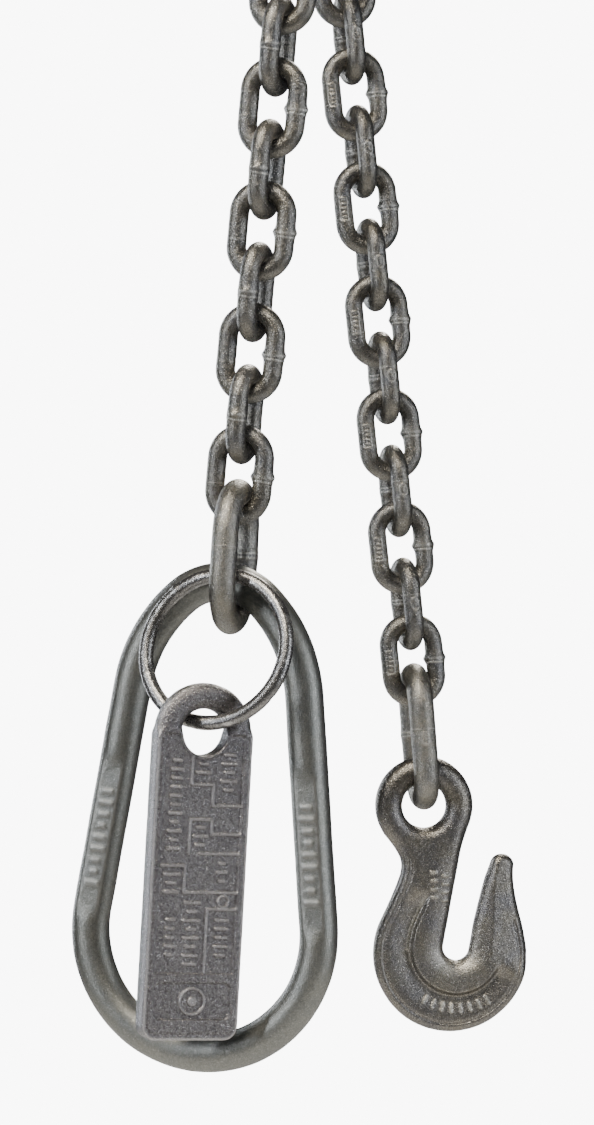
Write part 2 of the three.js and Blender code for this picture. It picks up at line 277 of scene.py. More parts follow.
def oval_stamp(along, sideways, long_radius, short_radius):
    """A raised oval with a short bar in it, as a plain forging mark."""
    reach = np.hypot(along / long_radius, sideways / short_radius)
    outline = bump((reach - 1) * short_radius, 0.32)
    inner = bump(along, 0.9) * bump(sideways, 0.32) + bump(along - 1.3, 0.3) * bump(sideways, 0.7)
    return np.maximum(outline, np.where(reach < 0.8, inner, 0))


def bar_stamp(along, sideways, half_length, half_width):
    """A raised frame with a row of short bars in it, as a plain forging mark."""
    edge = np.maximum(np.abs(along) - half_length, np.abs(sideways) - half_width)
    frame_line = bump(edge, 0.28)
    row = bump((along + 20) % 1.7 - 0.85, 0.33) * (np.abs(sideways) < half_width - 0.75)
    return np.maximum(frame_line, np.where(edge < -0.6, row, 0) * 0.9)


def forged_skin(points, seed):
    """The waviness and the scale of a hot-worked surface."""
    waves = 0.07 * noise(points, 7.5, seed)
    return waves + 0.04 * noise(points, 2.3, seed + 1) + 0.02 * noise(points, 0.9, seed + 2)


def link_section(size, line, seed, weld_at, stamp=None, weld_height=WELD_HEIGHT):
    """The radius of a link's bar, and its wear, all round the link."""
    wire = size["wire"]

    def radius_at(distance, turn, points):
        along = along_the_line(distance, weld_at, line.length)
        collar, seam = weld_collar(along, turn, weld_height)
        crown = bump(along_the_line(distance, line.length / 4, line.length), 5)
        crown = crown + bump(along_the_line(distance, 3 * line.length / 4, line.length), 5)
        bearing = crown * bump(round_the_bar(turn, 180), 0.8)
        die_line = bump(along_the_line(distance, weld_at + line.length / 2 + 3.6, line.length), 0.25)
        radius = wire / 2 + collar + forged_skin(points, seed) - 0.12 * bearing + 0.07 * die_line
        wear_and_highlight = 0.25 * crown + 0.5 * bearing + seam + 0.35 * die_line
        if stamp:
            kind, stamp_at, facing, long_size, short_size = stamp
            mark = kind(
                along_the_line(distance, stamp_at, line.length),
                round_the_bar(turn, facing) * wire / 2,
                long_size,
                short_size,
            )
            radius = radius + STAMP_HEIGHT * mark
            wear_and_highlight = wear_and_highlight + 0.55 * mark
        return radius - 0.05 - 0.12 * np.minimum(crown, 1), wear_and_highlight

    return radius_at


def add_link(node, material, size, seed, weld_arm, stamp_arm=None, stamp=None, weld_height=WELD_HEIGHT):
    """A welded link. Its weld and its stamp are each on the right arm (0) or the left arm (1)."""
    axes = axes_of(node)
    line = link_line(size)
    arm = line.length / 2
    mark = (stamp[0], stamp_arm * arm, *stamp[1:]) if stamp else None
    stations = graded(line.length, [(0, 6.5), (arm, 6.5)], 0.3, 0.85)
    section = link_section(size, line, seed, weld_arm * arm, mark, weld_height)
    points, faces, wear_and_highlight = swept_bar(line, stations, LINK_SIDES, section)
    add_piece(f"{node}_forged", node, material, points, faces, middle_of(node, axes), axes, wear_and_highlight)


# ---- The master link and the ring -----------------------------------------------------------------------


def master_line():
    """The pear-shaped centre line: crown, shoulder, straight flared side and a wide round foot."""
    length = MASTER_LENGTH - MASTER_WIRE
    flare = math.radians(MASTER_FLARE)
    turn = math.radians(MASTER_CROWN_ANGLE)
    gap = MASTER_SHOULDER - MASTER_CROWN
    shoulder = (-gap * math.sin(turn), length / 2 - MASTER_CROWN - gap * math.cos(turn))
    side_x = shoulder[0] + MASTER_SHOULDER * math.cos(flare)
    side_drop = length / 2 - (shoulder[1] + MASTER_SHOULDER * math.sin(flare))
    grow = (1 + math.sin(flare)) / math.cos(flare)
    side = (length - side_drop - side_x * grow) / (math.cos(flare) + math.sin(flare) * grow)
    foot = (side_x + side * math.sin(flare)) / math.cos(flare)
    right = np.vstack([
        arc(0, foot - length / 2, foot, -90, MASTER_FLARE),
        arc(*shoulder, MASTER_SHOULDER, MASTER_FLARE, 90 - MASTER_CROWN_ANGLE),
        arc(0, length / 2 - MASTER_CROWN, MASTER_CROWN, 90 - MASTER_CROWN_ANGLE, 90),
    ])
    return ClosedLine(np.vstack([right, (right * [-1, 1])[-2:0:-1]]))


def add_master_link(material):
    node = "master_link"
    axes = axes_of(node)
    line = master_line()

    def radius_at(distance, turn, points):
        height = points[..., 2]
        reach = step(MASTER_FLAT_HALF + 5, MASTER_FLAT_HALF - 3, np.abs(height - MASTER_FLAT_MIDDLE))
        facing = np.abs(np.sin(turn))
        radius = np.full(distance.shape, MASTER_WIRE / 2)
        flat = (MASTER_WIRE / 2 - MASTER_FLAT_DEPTH) / np.maximum(facing, 0.2)
        pressed = np.minimum(radius, flat)
        radius = radius + (pressed - radius) * reach
        edge = reach * bump(facing - (1 - MASTER_FLAT_DEPTH / MASTER_WIRE * 2), 0.035)
        sideways = np.cos(turn) * radius
        reach_of_bar = 2.1 + 0.7 * np.sin(1.7 * np.floor((height - MASTER_BAR_START) / MASTER_BAR_PITCH))
        from_bar = (height - MASTER_BAR_START) % MASTER_BAR_PITCH - MASTER_BAR_PITCH / 2
        row = bump(from_bar, 0.95) * step(0.3, -0.1, np.abs(sideways) - reach_of_bar)
        within = step(MASTER_FLAT_HALF - 7, MASTER_FLAT_HALF - 8, np.abs(height - MASTER_FLAT_MIDDLE))
        mark = row * within * (np.sin(turn) < 0)
        skin = 0.1 * noise(points, 14, 3) + 0.04 * noise(points, 4, 4) + 0.025 * noise(points, 1.6, 5)
        wear_and_highlight = 0.45 * edge + 0.5 * mark
        return radius + skin + 0.4 * mark - 0.06, wear_and_highlight

    stations = graded(line.length, [(line.length * 0.29, 40), (line.length * 0.71, 40)], 0.6, 1.2)
    points, faces, wear_and_highlight = swept_bar(line, stations, MASTER_SIDES, radius_at)
    middle = middle_of(node, axes)
    add_piece("master_link_forged", node, material, points, faces, middle, axes, wear_and_highlight)


def add_ring(material):
    node = "tag_ring"
    points = corners(node)
    depth = np.linalg.svd(points - points.mean(0), full_matrices=False)[2][2]
    depth = depth if depth[1] > 0 else -depth
    up = unit(np.array([0, 0, 1]) - depth[2] * depth)
    axes = np.array([np.cross(depth, up), depth, up])
    line = ClosedLine(arc(0, 0, (RING_DIAMETER - RING_WIRE) / 2, 0, 360)[:-1])

    def radius_at(distance, turn, where):
        dents = step(0.35, 0.75, noise(where, 3.1, 21)) * 0.12
        skin = 0.05 * noise(where, 6, 20) + 0.02 * noise(where, 1.2, 22)
        weld = 0.25 * bump(along_the_line(distance, line.length * 0.36, line.length), 1.2)
        return RING_WIRE / 2 + skin - dents + weld - 0.03, 0.6 * step(0.35, 0.7, noise(where, 2.4, 23))

    stations = graded(line.length, [], 0.6, 0.6)
    points, faces, wear_and_highlight = swept_bar(line, stations, RING_SIDES, radius_at)
    middle = middle_of(node, axes)
    add_piece("tag_ring_drawn", node, material, points, faces, middle, axes, wear_and_highlight)


# ---- Forged and cast plates, from an implicit surface ---------------------------------------------------


def outline_distance(points, outline):
    """How far each x-z point is inside a closed outline; negative outside."""
    start = outline
    along = np.roll(outline, -1, axis=0) - start
    nearest = np.full(len(points), np.inf)
    crossings = np.zeros(len(points), int)
    for (x, z), (dx, dz) in zip(start, along):
        px = points[:, 0] - x
        pz = points[:, 1] - z
        t = np.clip((px * dx + pz * dz) / (dx * dx + dz * dz), 0, 1)
        nearest = np.minimum(nearest, (px - t * dx) ** 2 + (pz - t * dz) ** 2)
        if dz:
            spans = (pz >= 0) != (pz >= dz)
            crossings += spans & (px < dx * pz / dz)
    return np.sqrt(nearest) * np.where(crossings % 2, 1, -1)


def rounded_plate(inside, through, half_thickness, edge_round):
    """The distance outside a plate whose edges are rounded over."""
    side = edge_round - inside
    face = through - (half_thickness - edge_round)
    beyond = np.hypot(np.maximum(side, 0), np.maximum(face, 0))
    return beyond + np.minimum(np.maximum(side, face), 0) - edge_round


def surface_of(shape, low, high, spacing):
    """The zero surface of shape(points), which is negative inside: (points, faces)."""
    counts = np.ceil((np.array(high) - low) / spacing).astype(int) + 1
    ticks = [low[k] + spacing * np.arange(counts[k]) for k in range(3)]
    grid = np.stack(np.meshgrid(*ticks, indexing="ij"), -1)
    value = shape(grid.reshape(-1, 3)).reshape(counts)
    cells = counts - 1
    total = np.zeros((*cells, 3))
    hits = np.zeros(cells)
    for axis in range(3):
        for first in np.ndindex(2, 2, 2):
            if first[axis]:
                continue
            second = list(first)
            second[axis] = 1
            a = value[tuple(slice(o, o + n) for o, n in zip(first, cells))]
            b = value[tuple(slice(o, o + n) for o, n in zip(second, cells))]
            cross = (a < 0) != (b < 0)
            share = np.where(cross, a / np.where(cross, a - b, 1), 0)
            place = np.zeros((*cells, 3)) + np.array(first)
            place[..., axis] += share
            total += place * cross[..., None]
            hits += cross
    used = hits > 0
    number = np.full(cells, -1)
    number[used] = np.arange(used.sum())
    base = np.stack(np.meshgrid(*[np.arange(n) for n in cells], indexing="ij"), -1)[used]
    points = np.array(low) + spacing * (base + total[used] / hits[used][:, None])

    faces = []
    for axis in range(3):
        u, v = (axis + 1) % 3, (axis + 2) % 3
        ahead = [slice(1, -1)] * 3
        ahead[axis] = slice(0, -1)
        beyond = list(ahead)
        beyond[axis] = slice(1, None)
        a = value[tuple(ahead)] < 0
        b = value[tuple(beyond)] < 0
        for inside_first in (True, False):
            found = np.argwhere((a & ~b) if inside_first else (~a & b))
            where = found + [0 if k == axis else 1 for k in range(3)]
            quad = []
            for du, dv in ((1, 1), (0, 1), (0, 0), (1, 0)):
                cell = where.copy()
                cell[:, u] -= du
                cell[:, v] -= dv
                quad.append(number[tuple(cell.T)])
            quad = np.stack(quad, 1)
            faces.append(quad if inside_first else quad[:, ::-1])
    return settle(shape, points, spacing), np.vstack(faces)


def settle(shape, points, spacing):
    """Moves points onto the zero surface of shape."""
    reach = 0.02
    for _ in range(3):
        here = shape(points)
        slope = np.stack([shape(points + reach * np.eye(3)[k]) - here for k in range(3)], 1) / reach
        move = here[:, None] * slope / np.maximum((slope**2).sum(1), 0.05)[:, None]
        size = np.linalg.norm(move, axis=1)[:, None]
        points = points - move * np.minimum(1, 0.5 * spacing / np.maximum(size, 1e-9))
    return points


def curve(start, control_a, control_b, end, count=14):
    """Points of a cubic curve, without its last point."""
    t = np.linspace(0, 1, count, endpoint=False)[:, None]
    start, control_a, control_b, end = (np.array(p) for p in (start, control_a, control_b, end))
    near_start = (1 - t) ** 3 * start + 3 * t * (1 - t) ** 2 * control_a
    return near_start + 3 * t**2 * (1 - t) * control_b + t**3 * end


def rounded_box(points, low, high, radius):
    """How far each x-z point is inside a box with round corners; negative outside."""
    middle = (np.array(low) + high) / 2
    half = (np.array(high) - low) / 2 - radius
    beyond = np.abs(points - middle) - half
    outside = np.linalg.norm(np.maximum(beyond, 0), axis=1)
    return radius - outside - np.minimum(beyond.max(1), 0)


def line_distance(points, start, end):
    """The distance of each x-z point from a straight stretch."""
    start = np.array(start)
    along = np.array(end) - start
    t = np.clip((points - start) @ along / (along @ along), 0, 1)
    return np.linalg.norm(points - start - t[:, None] * along, axis=1)


# ---- The tag --------------------------------------------------------------------------------------------

TAG_RIM = 3.0
TAG_RECESS = 0.9
TAG_RAIL_TOP = -85.0
TAG_RAIL_FOOT = -88.3
TAG_PANEL_FOOT = -101.2
TAG_STROKE = 0.42  # half the width of a raised line
TAG_EMBLEM = (0.3, -94.8)

# the raised frames of the tag's data fields, as corners that lines join
TAG_FIELDS = [
    [(-4.2, -8.5), (-4.2, -18.3), (4.0, -18.3), (4.0, -25.6), (14.6, -25.6)],
    [(-4.0, -42.6), (-4.0, -30.6), (4.2, -30.6), (4.2, -35.7), (14.6, -35.7)],
    [(-14.0, -47.0), (-5.0, -47.0), (-5.0, -56.3), (14.6, -56.3)],
    [(0.0, -42.6), (14.6, -42.6)],
    [(4.1, -84.4), (4.1, -62.2), (14.6, -62.2)],
]
# columns of short raised bars in the fields: x, first z, last z, bar length
TAG_COLUMNS = [
    (-9.8, -10.0, -42.0, 4.6),
    (0.0, -11.0, -16.0, 5.2),
    (9.6, -7.6, -22.5, 5.6),
    (0.0, -33.4, -40.5, 5.2),
    (-9.8, -50.0, -58.5, 5.6),
    (-9.4, -66.0, -80.0, 3.6),
    (-1.6, -60.0, -82.0, 5.8),
    (9.8, -66.0, -81.0, 5.4),
    (8.8, -46.0, -53.0, 3.4),
]
TAG_BAR_PITCH = 3.1


def tag_outline():
    half = TAG_WIDTH / 2
    low = TAG_FOOT + TAG_CORNER
    angle = np.radians(np.linspace(0, 180, 40))
    eye = np.column_stack([half * np.cos(angle), TAG_EYE_RISE * np.sin(angle)])
    left = arc(-half + TAG_CORNER, low, TAG_CORNER, 180, 270, 0.8)
    right = arc(half - TAG_CORNER, low, TAG_CORNER, 270, 360, 0.8)
    return np.vstack([eye, left, right])


def tag_relief(flat, hole_distance):
    """How far the tag's front stands below (+) its rim, and how raised its details are, at each x-z point."""
    half = TAG_WIDTH / 2 - TAG_RIM
    main = rounded_box(flat, (-half, TAG_RAIL_TOP), (half, -0.6), 0.6)
    main = np.minimum(main, hole_distance - 1.1)
    lower = rounded_box(flat, (-half + 0.5, TAG_PANEL_FOOT), (half - 0.5, TAG_RAIL_FOOT), 2.4)
    recess = TAG_RECESS * step(-0.2, 0.25, np.maximum(main, lower))
    bead = rounded_box(flat, (-half - 1.6, TAG_FOOT + 2.2), (half + 1.6, 8.0), 3.4)
    recess = recess + 0.3 * bump(bead, 0.3) * (flat[:, 1] < -2)

    raised = np.zeros(len(flat))
    for corners_of_field in TAG_FIELDS:
        for start, end in zip(corners_of_field, corners_of_field[1:]):
            stroke = line_distance(flat, start, end)
            raised = np.maximum(raised, step(TAG_STROKE + 0.22, TAG_STROKE - 0.1, stroke))
    for x, first, last, length in TAG_COLUMNS:
        for z in np.arange(first, last, -TAG_BAR_PITCH):
            half_length = length / 2 * (0.75 + 0.25 * math.sin(7 * z))
            bar = line_distance(flat, (x - half_length, z), (x + half_length, z))
            raised = np.maximum(raised, step(TAG_STROKE + 0.3, TAG_STROKE - 0.05, bar))
    emblem = np.linalg.norm(flat - TAG_EMBLEM, axis=1)
    raised = np.maximum(raised, step(0.6, 0.25, np.abs(emblem - 4.6)))
    raised = np.maximum(raised, step(1.9, 1.5, emblem))
    knob = np.linalg.norm(flat - [9.9, -59.4], axis=1)
    raised = np.maximum(raised, step(0.55, 0.2, np.abs(knob - 2.0)))
    return recess, raised


def add_tag(material):
    node = "id_tag"
    axes = axes_of(node)
    outline = tag_outline()

    def shape(points):
        flat = points[:, [0, 2]]
        hole_distance = np.linalg.norm(flat, axis=1) - TAG_HOLE / 2
        inside = np.minimum(outline_distance(flat, outline), hole_distance)
        recess, raised = tag_relief(flat, hole_distance)
        eye = step(-1.5, 2.5, flat[:, 1])
        front = points[:, 1] < 0
        depth = np.where(front, recess - 0.75 * raised, 0.7 * recess) * (1 - eye)
        edge = 1.0 + 3.1 * eye
        skin = 0.05 * noise(points, 5, 31) + 0.035 * noise(points, 1.7, 32)
        return rounded_plate(inside, np.abs(points[:, 1]), TAG_THICKNESS / 2 - depth - 0.05, edge) - skin

    half = TAG_WIDTH / 2 + 1
    low = (-half, -TAG_THICKNESS / 2 - 0.9, TAG_FOOT - 1)
    high = (half, TAG_THICKNESS / 2 + 0.9, TAG_EYE_RISE + 1)
    points, faces = surface_of(shape, low, high, TAG_SPACING)
    flat = points[:, [0, 2]]
    _, raised = tag_relief(flat, np.linalg.norm(flat, axis=1) - TAG_HOLE / 2)
    # rim brightens the outer edge of the front face only: partly edge wear, partly a painted highlight along
    # the front edge
    rim = bump(outline_distance(flat, outline) - 0.5, 0.5)
    wear_and_highlight = (points[:, 1] < 0) * (0.4 * raised * (flat[:, 1] < 0) + 0.7 * rim)
    middle = middle_of(node, axes)
    top = (corners(node) @ axes[2]).max()
    origin = middle + axes[2] * (top - TAG_EYE_RISE - middle @ axes[2])
    add_piece("id_tag_cast", node, material, points, faces, origin, axes, wear_and_highlight)


# ---- The grab hook --------------------------------------------------------------------------------------

HOOK_NECK = (-7.0, -22.5)  # where the neck's left side is drawn in to
HOOK_GROOVE = 18.6  # the groove's distance from the slot's centre line
HOOK_RIDGE = 14.6


def hook_outline():
    slot_x, slot_z, slot_width = HOOK_SLOT
    bowl_x, bowl_z, bowl_radius = HOOK_BOWL
    tip_x, tip_z, tip_radius = HOOK_TIP
    lean = HOOK_SLOT_LEAN
    eye = arc(0, 0, HOOK_EYE, -26, 222, 1.2)
    bowl = arc(bowl_x, bowl_z, bowl_radius, 150, 362, 1.2)
    neck = curve(eye[-1], HOOK_NECK, HOOK_NECK, bowl[0])
    tip = arc(tip_x, tip_z, tip_radius, 12, 180 - lean, 0.8)
    back = curve(bowl[-1], (38.2, -46.0), (32.6, -34.0), tip[0])
    slot = arc(slot_x, slot_z, slot_width / 2, -lean, -180 - lean, 0.6)
    belly = curve(tip[-1], (22.6, -29.0), (19.6, -38.0), slot[0])
    wall = unit(np.array([math.sin(math.radians(lean)), math.cos(math.radians(lean))]))
    shank = slot[-1] + wall * 33
    throat = curve(shank, shank + wall * 7, eye[0] + [-1.6, -4.4], eye[0], 10)
    return np.vstack([eye, neck[1:], bowl, back[1:], tip, belly[1:], slot, throat])


def slot_coordinates(flat):
    """(distance from the slot's centre line, height along it, distance to its right) of x-z points."""
    lean = math.radians(HOOK_SLOT_LEAN)
    from_slot = flat - np.array(HOOK_SLOT[:2])
    height = from_slot @ [math.sin(lean), math.cos(lean)]
    sideways = from_slot @ [math.cos(lean), -math.sin(lean)]
    distance = np.where(height > 0, np.abs(sideways), np.linalg.norm(from_slot, axis=1))
    return distance, height, sideways


def hook_relief(flat):
    """Half the hook's thickness at each x-z point, and where its ridges are."""
    distance, height, sideways = slot_coordinates(flat)
    angle = np.degrees(np.arctan2(height, sideways))
    left_top = step(21, 12, height) + (sideways > 0)
    right_end = step(-4, -26, angle) + (sideways < 0)
    groove_reach = np.clip(left_top, 0, 1) * np.clip(right_end, 0, 1)
    groove_at = HOOK_GROOVE - 3.2 * step(2, 20, height) * (sideways < 0)
    below_ridge = step(HOOK_RIDGE + 0.5, HOOK_SLOT[2] / 2 - 2, distance)
    thickness = HOOK_THICKNESS / 2 - 2.3 * below_ridge**1.6
    flange = step(groove_at - 1.9, groove_at, distance) * groove_reach
    rise = step(groove_at, groove_at + 8.5, distance)
    thickness = thickness - flange * (2.5 - 1.3 * rise)
    line = bump(distance - groove_at - 0.5, 0.7) * groove_reach * (height > -4) * (sideways < 0)
    thickness = thickness + 0.45 * line
    return thickness, line


def hook_marks(flat):
    """Plain raised forging marks: a row of short bars round the foot, and two short columns on the neck."""
    raised = np.zeros(len(flat))
    middle = np.array(HOOK_SLOT[:2])
    for angle in np.radians(np.arange(-124, -60, 9)):
        ray = np.array([math.cos(angle), math.sin(angle)])
        bar = line_distance(flat, middle + 21.6 * ray, middle + 24.6 * ray)
        raised = np.maximum(raised, step(0.65, 0.25, bar))
    for x, shift in ((2.4, 0.0), (7.0, -1.5)):
        for z in np.arange(-25.5, -36, -3.2):
            bar = line_distance(flat, (x - 1.1, z + shift), (x + 1.1, z + shift))
            raised = np.maximum(raised, step(0.6, 0.2, bar))
    return raised


def horn_roof(flat, thickness):
    """The horn is ridged: it falls away on both sides of a line up its middle."""
    _, height, sideways = slot_coordinates(flat)
    ridge_at = 13.6 - 0.13 * np.maximum(height, 0)
    on_horn = step(-9, 3, height) * (sideways > 0)
    fall = np.where(sideways < ridge_at, 0.34, 0.2) * np.abs(sideways - ridge_at)
    roof = HOOK_THICKNESS / 2 - fall - 0.035 * np.maximum(height, 0)
    return thickness + (roof - thickness) * on_horn


def add_hook(material):
    node = "grab_hook"
    points = corners(node)
    depth = np.linalg.svd(points - points.mean(0), full_matrices=False)[2][2]
    depth = depth if depth[1] > 0 else -depth
    up = unit(np.cross([0, 1, 0], depth))  # it leans only sideways, so this is square to y as well
    up = up if up[2] > 0 else -up
    axes = np.array([np.cross(depth, up), depth, up])
    drop = HOOK_HOLE / 2 - END_LINK["wire"] / 2 - HOOK_PLAY
    origin = joint_point(node) - up * drop
    outline = hook_outline()

    def shape(where):
        flat = where[:, [0, 2]]
        hole_distance = np.linalg.norm(flat, axis=1) - HOOK_HOLE / 2
        edge_distance = outline_distance(flat, outline)
        inside = np.minimum(edge_distance, hole_distance)
        thickness, _ = hook_relief(flat)
        thickness = horn_roof(flat, thickness)
        eye = step(-24, -12, flat[:, 1]) * (flat[:, 0] < 22)
        thickness = thickness + (HOOK_THICKNESS / 2 - 0.3 - thickness) * eye
        rim = 0.55 * bump(edge_distance - 3.3, 0.55) * (1 - eye) * (slot_coordinates(flat)[0] > 20)
        edge = 3.3 + 1.9 * eye
        thickness = thickness + 0.4 * hook_marks(flat) * (where[:, 1] < 0)
        skin = 0.09 * noise(where, 9, 41) + 0.05 * noise(where, 2.6, 42) + 0.02 * noise(where, 1.1, 43)
        return rounded_plate(inside, np.abs(where[:, 1]), thickness - rim - 0.1, edge) - skin

    points, faces = surface_of(shape, HOOK_LOW, HOOK_HIGH, HOOK_SPACING)
    _, line = hook_relief(points[:, [0, 2]])
    distance, height, _ = slot_coordinates(points[:, [0, 2]])
    # the seat band brightens both faces round the slot's foot: partly wear where the chain bears, partly a
    # painted highlight on the slope beneath the slot that faces up to the top light
    seat_wear_and_highlight = bump(distance - HOOK_SLOT[2] / 2, 7) * step(2, -8, height)
    wear_and_highlight = 0.4 * line + 0.45 * seat_wear_and_highlight + 0.5 * hook_marks(points[:, [0, 2]]) * (points[:, 1] < 0)
    add_piece("grab_hook_forged", node, material, points, faces, origin, axes, wear_and_highlight)


# ---- Materials ------------------------------------------------------------------------------------------


def shader_node(tree, kind, **values):
    made = tree.nodes.new(kind)
    for name, value in values.items():
        if name in made.inputs:
            made.inputs[name].default_value = value
        else:
            setattr(made, name, value)
    return made


def noise_node(tree, coordinates, per_metre, detail, roughness=0.6):
    made = shader_node(tree, "ShaderNodeTexNoise", Scale=per_metre, Detail=detail, Roughness=roughness)
    tree.links.new(coordinates, made.inputs["Vector"])
    return made.outputs["Fac"]


def mapped(tree, value, from_low, from_high, to_low, to_high):
    made = shader_node(tree, "ShaderNodeMapRange", **{"From Min": from_low, "From Max": from_high})
    made.inputs["To Min"].default_value = to_low
    made.inputs["To Max"].default_value = to_high
    tree.links.new(value, made.inputs["Value"])
    return made.outputs["Result"]


def mixed(tree, factor, first, second):
    """A colour between two, each a colour or a socket."""
    made = tree.nodes.new("ShaderNodeMix")
    made.data_type = "RGBA"
    tree.links.new(factor, made.inputs["Factor"])
    for name, value in (("A", first), ("B", second)):
        socket = [s for s in made.inputs if s.name == name and s.type == "RGBA"][0]
        if isinstance(value, tuple):
            socket.default_value = (*value, 1)
        else:
            tree.links.new(value, socket)
    return [s for s in made.outputs if s.type == "RGBA"][0]


def raised_by(tree, height, strength, distance, normal=None):
    made = shader_node(tree, "ShaderNodeBump", Strength=strength, Distance=distance)
    tree.links.new(height, made.inputs["Height"])
    if normal:
        tree.links.new(normal, made.inputs["Normal"])
    return made.outputs["Normal"]


METALNESS = 0.92


def forged_metal(name, cool, warm, scale, worn_and_highlight, rough, grain=1.0, pits=1.0, speckling=0.4):
    """Hot-worked steel: mottled oxide over metal, fine grain, small pits, and bright metal where worn; the
    wear attribute also paints highlights on the hook and the tag.
    """
    material = bpy.data.materials.new(name)
    material.use_nodes = True
    tree = material.node_tree
    shader = tree.nodes["Principled BSDF"]
    shader.inputs["Metallic"].default_value = METALNESS
    where = tree.nodes.new("ShaderNodeTexCoord").outputs["Object"]

    clouds = mapped(tree, noise_node(tree, where, 110, 5), 0.3, 0.75, 0, 1)
    patches = mapped(tree, noise_node(tree, where, 800, 6, 0.75), 0.45, 0.66, 0, 1)
    speckle = mapped(tree, noise_node(tree, where, 1900, 4, 0.75), 0.42, 0.68, 0, 1)
    colour = mixed(tree, clouds, cool, warm)
    scaled_patches = mapped(tree, patches, 0, 1, 0, speckling)
    colour = mixed(tree, scaled_patches, colour, scale)
    light_speckle = mapped(tree, speckle, 0.35, 1, 0, speckling)
    colour = mixed(tree, light_speckle, colour, worn_and_highlight)
    # the wear attribute mixes in the bright worn colour: real wear, and on the hook's slot foot and the tag's
    # front edge also painted highlight
    wear_and_highlight = shader_node(tree, "ShaderNodeAttribute", attribute_name="wear_and_highlight").outputs["Fac"]
    wear_and_highlight_scaled = mapped(tree, wear_and_highlight, 0, 1, 0, 0.8)
    colour = mixed(tree, wear_and_highlight_scaled, colour, worn_and_highlight)
    tree.links.new(colour, shader.inputs["Base Color"])

    roughness = mapped(tree, speckle, 0, 1, rough + 0.08, rough - 0.1)
    tree.links.new(roughness, shader.inputs["Roughness"])

    cells = shader_node(tree, "ShaderNodeTexVoronoi", Scale=950.0)
    tree.links.new(where, cells.inputs["Vector"])
    pit = mapped(tree, cells.outputs["Distance"], 0.0, 0.35, 0, 1)
    fine = noise_node(tree, where, 2600, 3, 0.7)
    normal = raised_by(tree, noise_node(tree, where, 700, 5, 0.65), 1.0, 0.0003 * grain)
    normal = raised_by(tree, fine, 1.0, 0.00013 * grain, normal)
    normal = raised_by(tree, pit, 1.0, 0.00006 * pits, normal)
    tree.links.new(normal, shader.inputs["Normal"])
    return material


METALS = {
    "chain": dict(
        name="chain_steel",
        cool=(0.13, 0.131, 0.135),
        warm=(0.2, 0.182, 0.145),
        scale=(0.04, 0.038, 0.036),
        worn_and_highlight=(0.55, 0.53, 0.48),
        rough=0.29,
        grain=0.95,
    ),
    "fitting": dict(
        name="fitting_steel",
        cool=(0.18, 0.18, 0.18),
        warm=(0.26, 0.24, 0.19),
        scale=(0.07, 0.067, 0.06),
        worn_and_highlight=(0.6, 0.57, 0.5),
        rough=0.3,
        pits=1.6,
    ),
    "master": dict(
        name="master_steel",
        cool=(0.17, 0.174, 0.165),
        warm=(0.205, 0.203, 0.18),
        scale=(0.1, 0.1, 0.094),
        worn_and_highlight=(0.42, 0.41, 0.39),
        rough=0.37,
        grain=0.55,
        pits=0.6,
    ),
    "ring": dict(
        name="ring_steel",
        cool=(0.17, 0.165, 0.17),
        warm=(0.25, 0.24, 0.22),
        scale=(0.05, 0.05, 0.05),
        worn_and_highlight=(0.7, 0.68, 0.65),
        rough=0.24,
        grain=0.5,
        pits=0.4,
    ),
    "tag": dict(
        name="tag_iron",
        cool=(0.115, 0.108, 0.111),
        warm=(0.15, 0.143, 0.142),
        scale=(0.02, 0.018, 0.02),
        worn_and_highlight=(0.55, 0.53, 0.53),
        rough=0.29,
        grain=1.3,
        pits=1.2,
        speckling=0.7,
    ),
    "hook": dict(
        name="hook_steel",
        cool=(0.13, 0.126, 0.132),
        warm=(0.195, 0.178, 0.145),
        scale=(0.04, 0.038, 0.036),
        worn_and_highlight=(0.6, 0.57, 0.49),
        rough=0.28,
        grain=0.8,
        pits=0.6,
    ),
}


# ---- Chain ----------------------------------------------------------------------------------------------

# a stamp: its kind, the angle of the section that it is on, and its half length and half width
OVAL = (oval_stamp, 0, 2.3, 1.5)
FRAME_MARK = (bar_stamp, 280, 4.4, 1.5)


def add_chain(material):
    """Flat links are welded on their right arm, and edge-on links in front on the front run and behind on
    the back run. Only links of the back run carry a stamp."""
    for number in range(1, LINKS + 1):
        node = f"chain_link_{number:02d}"
        flat = (number - TOP_LINK) % 2 == 0
        back_run = number > TOP_LINK
        weld_arm = 1 if back_run and not flat else 0
        stamp, stamp_arm = None, 0
        if back_run and not flat:
            stamp = OVAL
        if back_run and flat:
            stamp, stamp_arm = FRAME_MARK, 1
        add_link(node, material, CHAIN, number * 7, weld_arm, stamp_arm, stamp)


# ---- Stage, lights and camera ---------------------------------------------------------------------------

VIEW_MIDDLE = Vector((-0.0068, -0.0498, -0.2231))
VIEW_DISTANCE = 1.15
VIEW_LENS = 103.7
SENSOR = 36.0

FLOOR_HEIGHT = -0.56
FLOOR_RADIUS = 0.5
FLOOR_SIDES = 64
BACKDROP_STRENGTH = 9.0
STUDIO_STRENGTH = 0.05


def add_camera():
    camera = bpy.data.objects.new("camera", bpy.data.cameras.new("camera"))
    bpy.context.scene.collection.objects.link(camera)
    camera.data.sensor_fit = "VERTICAL"
    camera.data.sensor_height = SENSOR
    camera.data.lens = VIEW_LENS
    camera.location = VIEW_MIDDLE - Vector((0, VIEW_DISTANCE, 0))
    camera.rotation_euler = (math.radians(90), 0, 0)
    bpy.context.scene.camera = camera


def add_light(name, place, width, height, power, colour):
    light = bpy.data.objects.new(name, bpy.data.lights.new(name, "AREA"))
    bpy.context.scene.collection.objects.link(light)
    light.data.shape = "RECTANGLE"
    light.data.size = width
    light.data.size_y = height
    light.data.energy = power
    light.data.color = colour
    light.location = VIEW_MIDDLE + Vector(place)
    light.rotation_euler = (-Vector(place)).to_track_quat("-Z", "Y").to_euler()


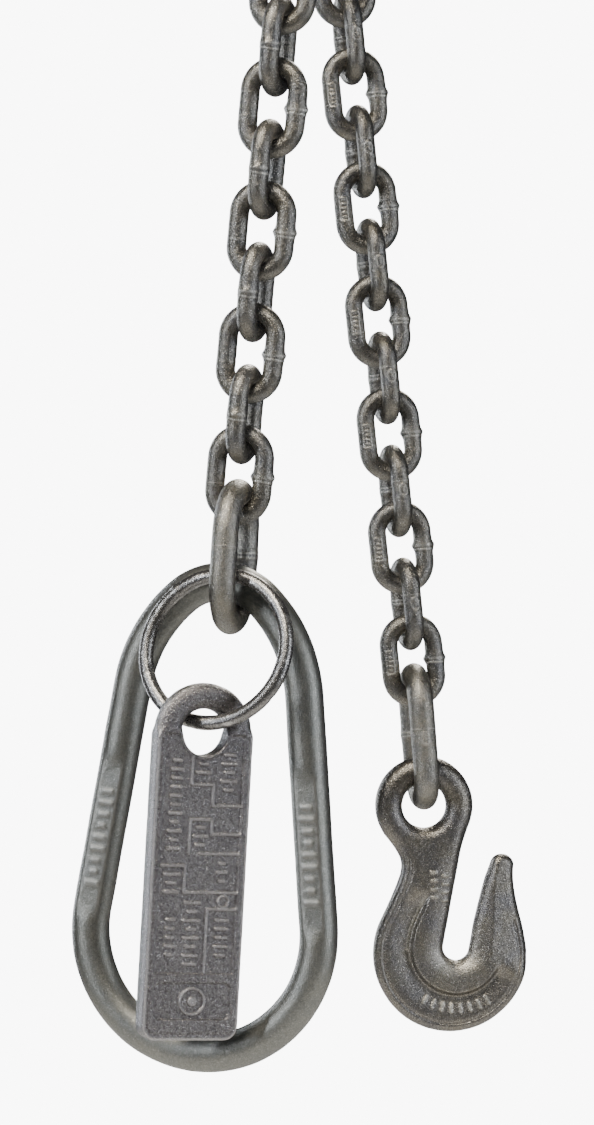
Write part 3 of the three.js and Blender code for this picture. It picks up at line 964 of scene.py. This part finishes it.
def add_stage():
    turn = [2 * math.pi * k / FLOOR_SIDES for k in range(FLOOR_SIDES)]
    rim = [(FLOOR_RADIUS * math.cos(a), FLOOR_RADIUS * math.sin(a), 0) for a in turn]
    mesh = bpy.data.meshes.new("floor")
    mesh.from_pydata(rim, [], [list(range(FLOOR_SIDES))])
    floor = bpy.data.objects.new("floor", mesh)
    floor.location.z = FLOOR_HEIGHT
    material = bpy.data.materials.new("pale_floor")
    material.use_nodes = True
    material.node_tree.nodes["Principled BSDF"].inputs["Base Color"].default_value = (0.86, 0.86, 0.86, 1)
    material.node_tree.nodes["Principled BSDF"].inputs["Roughness"].default_value = 0.9
    mesh.materials.append(material)
    bpy.context.scene.collection.objects.link(floor)


def add_world():
    """A white studio behind the object, and a dimmer grey one round it for its reflections."""
    world = bpy.data.worlds.new("studio")
    bpy.context.scene.world = world
    world.use_nodes = True
    tree = world.node_tree
    grey = tree.nodes["Background"]
    grey.inputs["Color"].default_value = (0.9, 0.93, 1.0, 1)
    grey.inputs["Strength"].default_value = STUDIO_STRENGTH
    white = shader_node(tree, "ShaderNodeBackground", Color=(1, 1, 1, 1), Strength=BACKDROP_STRENGTH)
    seen = tree.nodes.new("ShaderNodeLightPath").outputs["Is Camera Ray"]
    choice = tree.nodes.new("ShaderNodeMixShader")
    tree.links.new(seen, choice.inputs["Fac"])
    tree.links.new(grey.outputs["Background"], choice.inputs[1])
    tree.links.new(white.outputs["Background"], choice.inputs[2])
    tree.links.new(choice.outputs["Shader"], tree.nodes["World Output"].inputs["Surface"])


add_camera()
add_stage()
add_world()
add_light("top_softbox", (-0.3, -0.65, 1.0), 0.35, 0.3, 21, (1.0, 0.93, 0.8))
add_light("left_softbox", (-1.1, -0.7, 0.25), 0.1, 1.0, 11, (0.88, 0.93, 1.0))
add_light("right_softbox", (1.1, -0.5, 0.1), 0.1, 1.0, 9, (0.88, 0.93, 1.0))
add_light("front_softbox", (-0.35, -1.5, 0.9), 0.25, 0.25, 5, (1.0, 0.98, 0.95))
add_light("back_softbox", (0.3, 1.2, 0.9), 0.4, 0.4, 14, (1.0, 0.95, 0.86))
add_light("back_left_softbox", (-0.9, 1.1, 0.1), 0.12, 1.0, 8, (0.88, 0.93, 1.0))

metals = {kind: forged_metal(**values) for kind, values in METALS.items()}
add_chain(metals["chain"])
add_link("coupling_link", metals["fitting"], COUPLING, 501, 1, weld_height=1.2)
add_link("end_link", metals["fitting"], END_LINK, 601, 1, 0, OVAL, weld_height=1.1)
add_master_link(metals["master"])
add_ring(metals["ring"])
add_tag(metals["tag"])
add_hook(metals["hook"])
